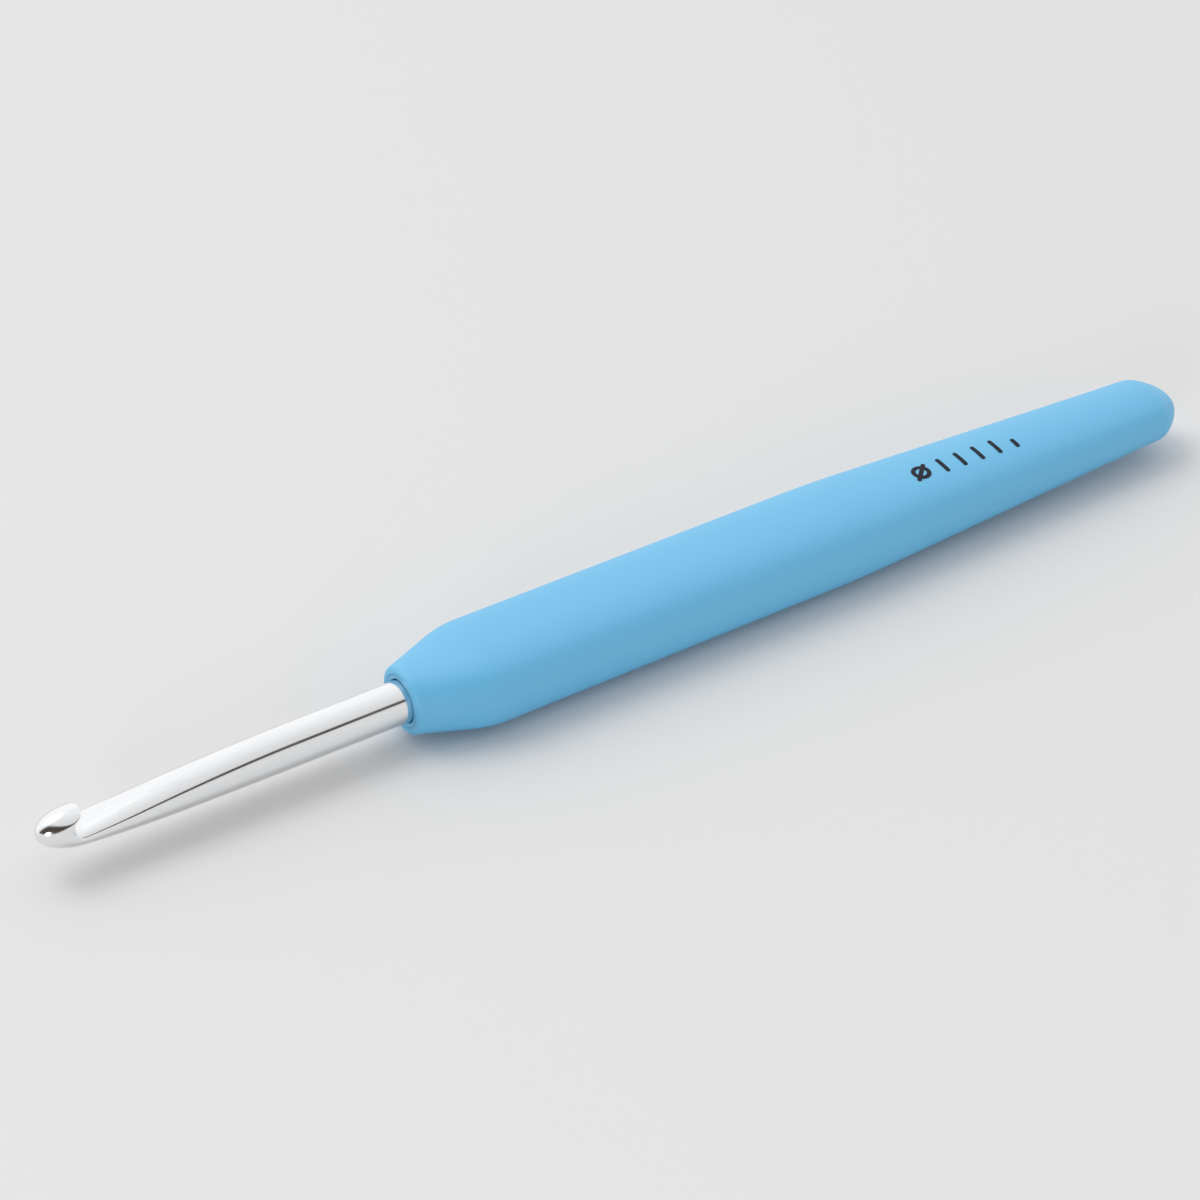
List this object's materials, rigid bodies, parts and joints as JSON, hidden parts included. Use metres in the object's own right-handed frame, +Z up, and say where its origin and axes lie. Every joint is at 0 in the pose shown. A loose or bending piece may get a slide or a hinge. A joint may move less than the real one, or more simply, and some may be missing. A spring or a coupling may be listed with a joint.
{
  "type": "crochet hook",
  "caption": "Slim aluminium crochet hook with an in-line round head, an open throat and a tapered soft-grip handle.",
  "frame": {"origin": "on the table, under the middle of the whole length, with the hook lying on the underside of its handle", "axes": "+X along the hook from the head to the handle's rounded tail, +Z up, and the throat opens towards +Z"},
  "size_m": [0.14, 0.0125, 0.009],
  "materials": {
    "aluminium_shaft": "polished and clear anodised",
    "plastic_core": "as moulded",
    "elastomer_grip": "satin, fine moulded texture",
    "printed_ink": "pad-printed ink"
  },
  "bodies": {
    "root": {"hook_shaft": "aluminium_shaft", "handle_core": "plastic_core", "soft_grip": "elastomer_grip", "size_mark": "printed_ink"}
  },
  "joints": []
}
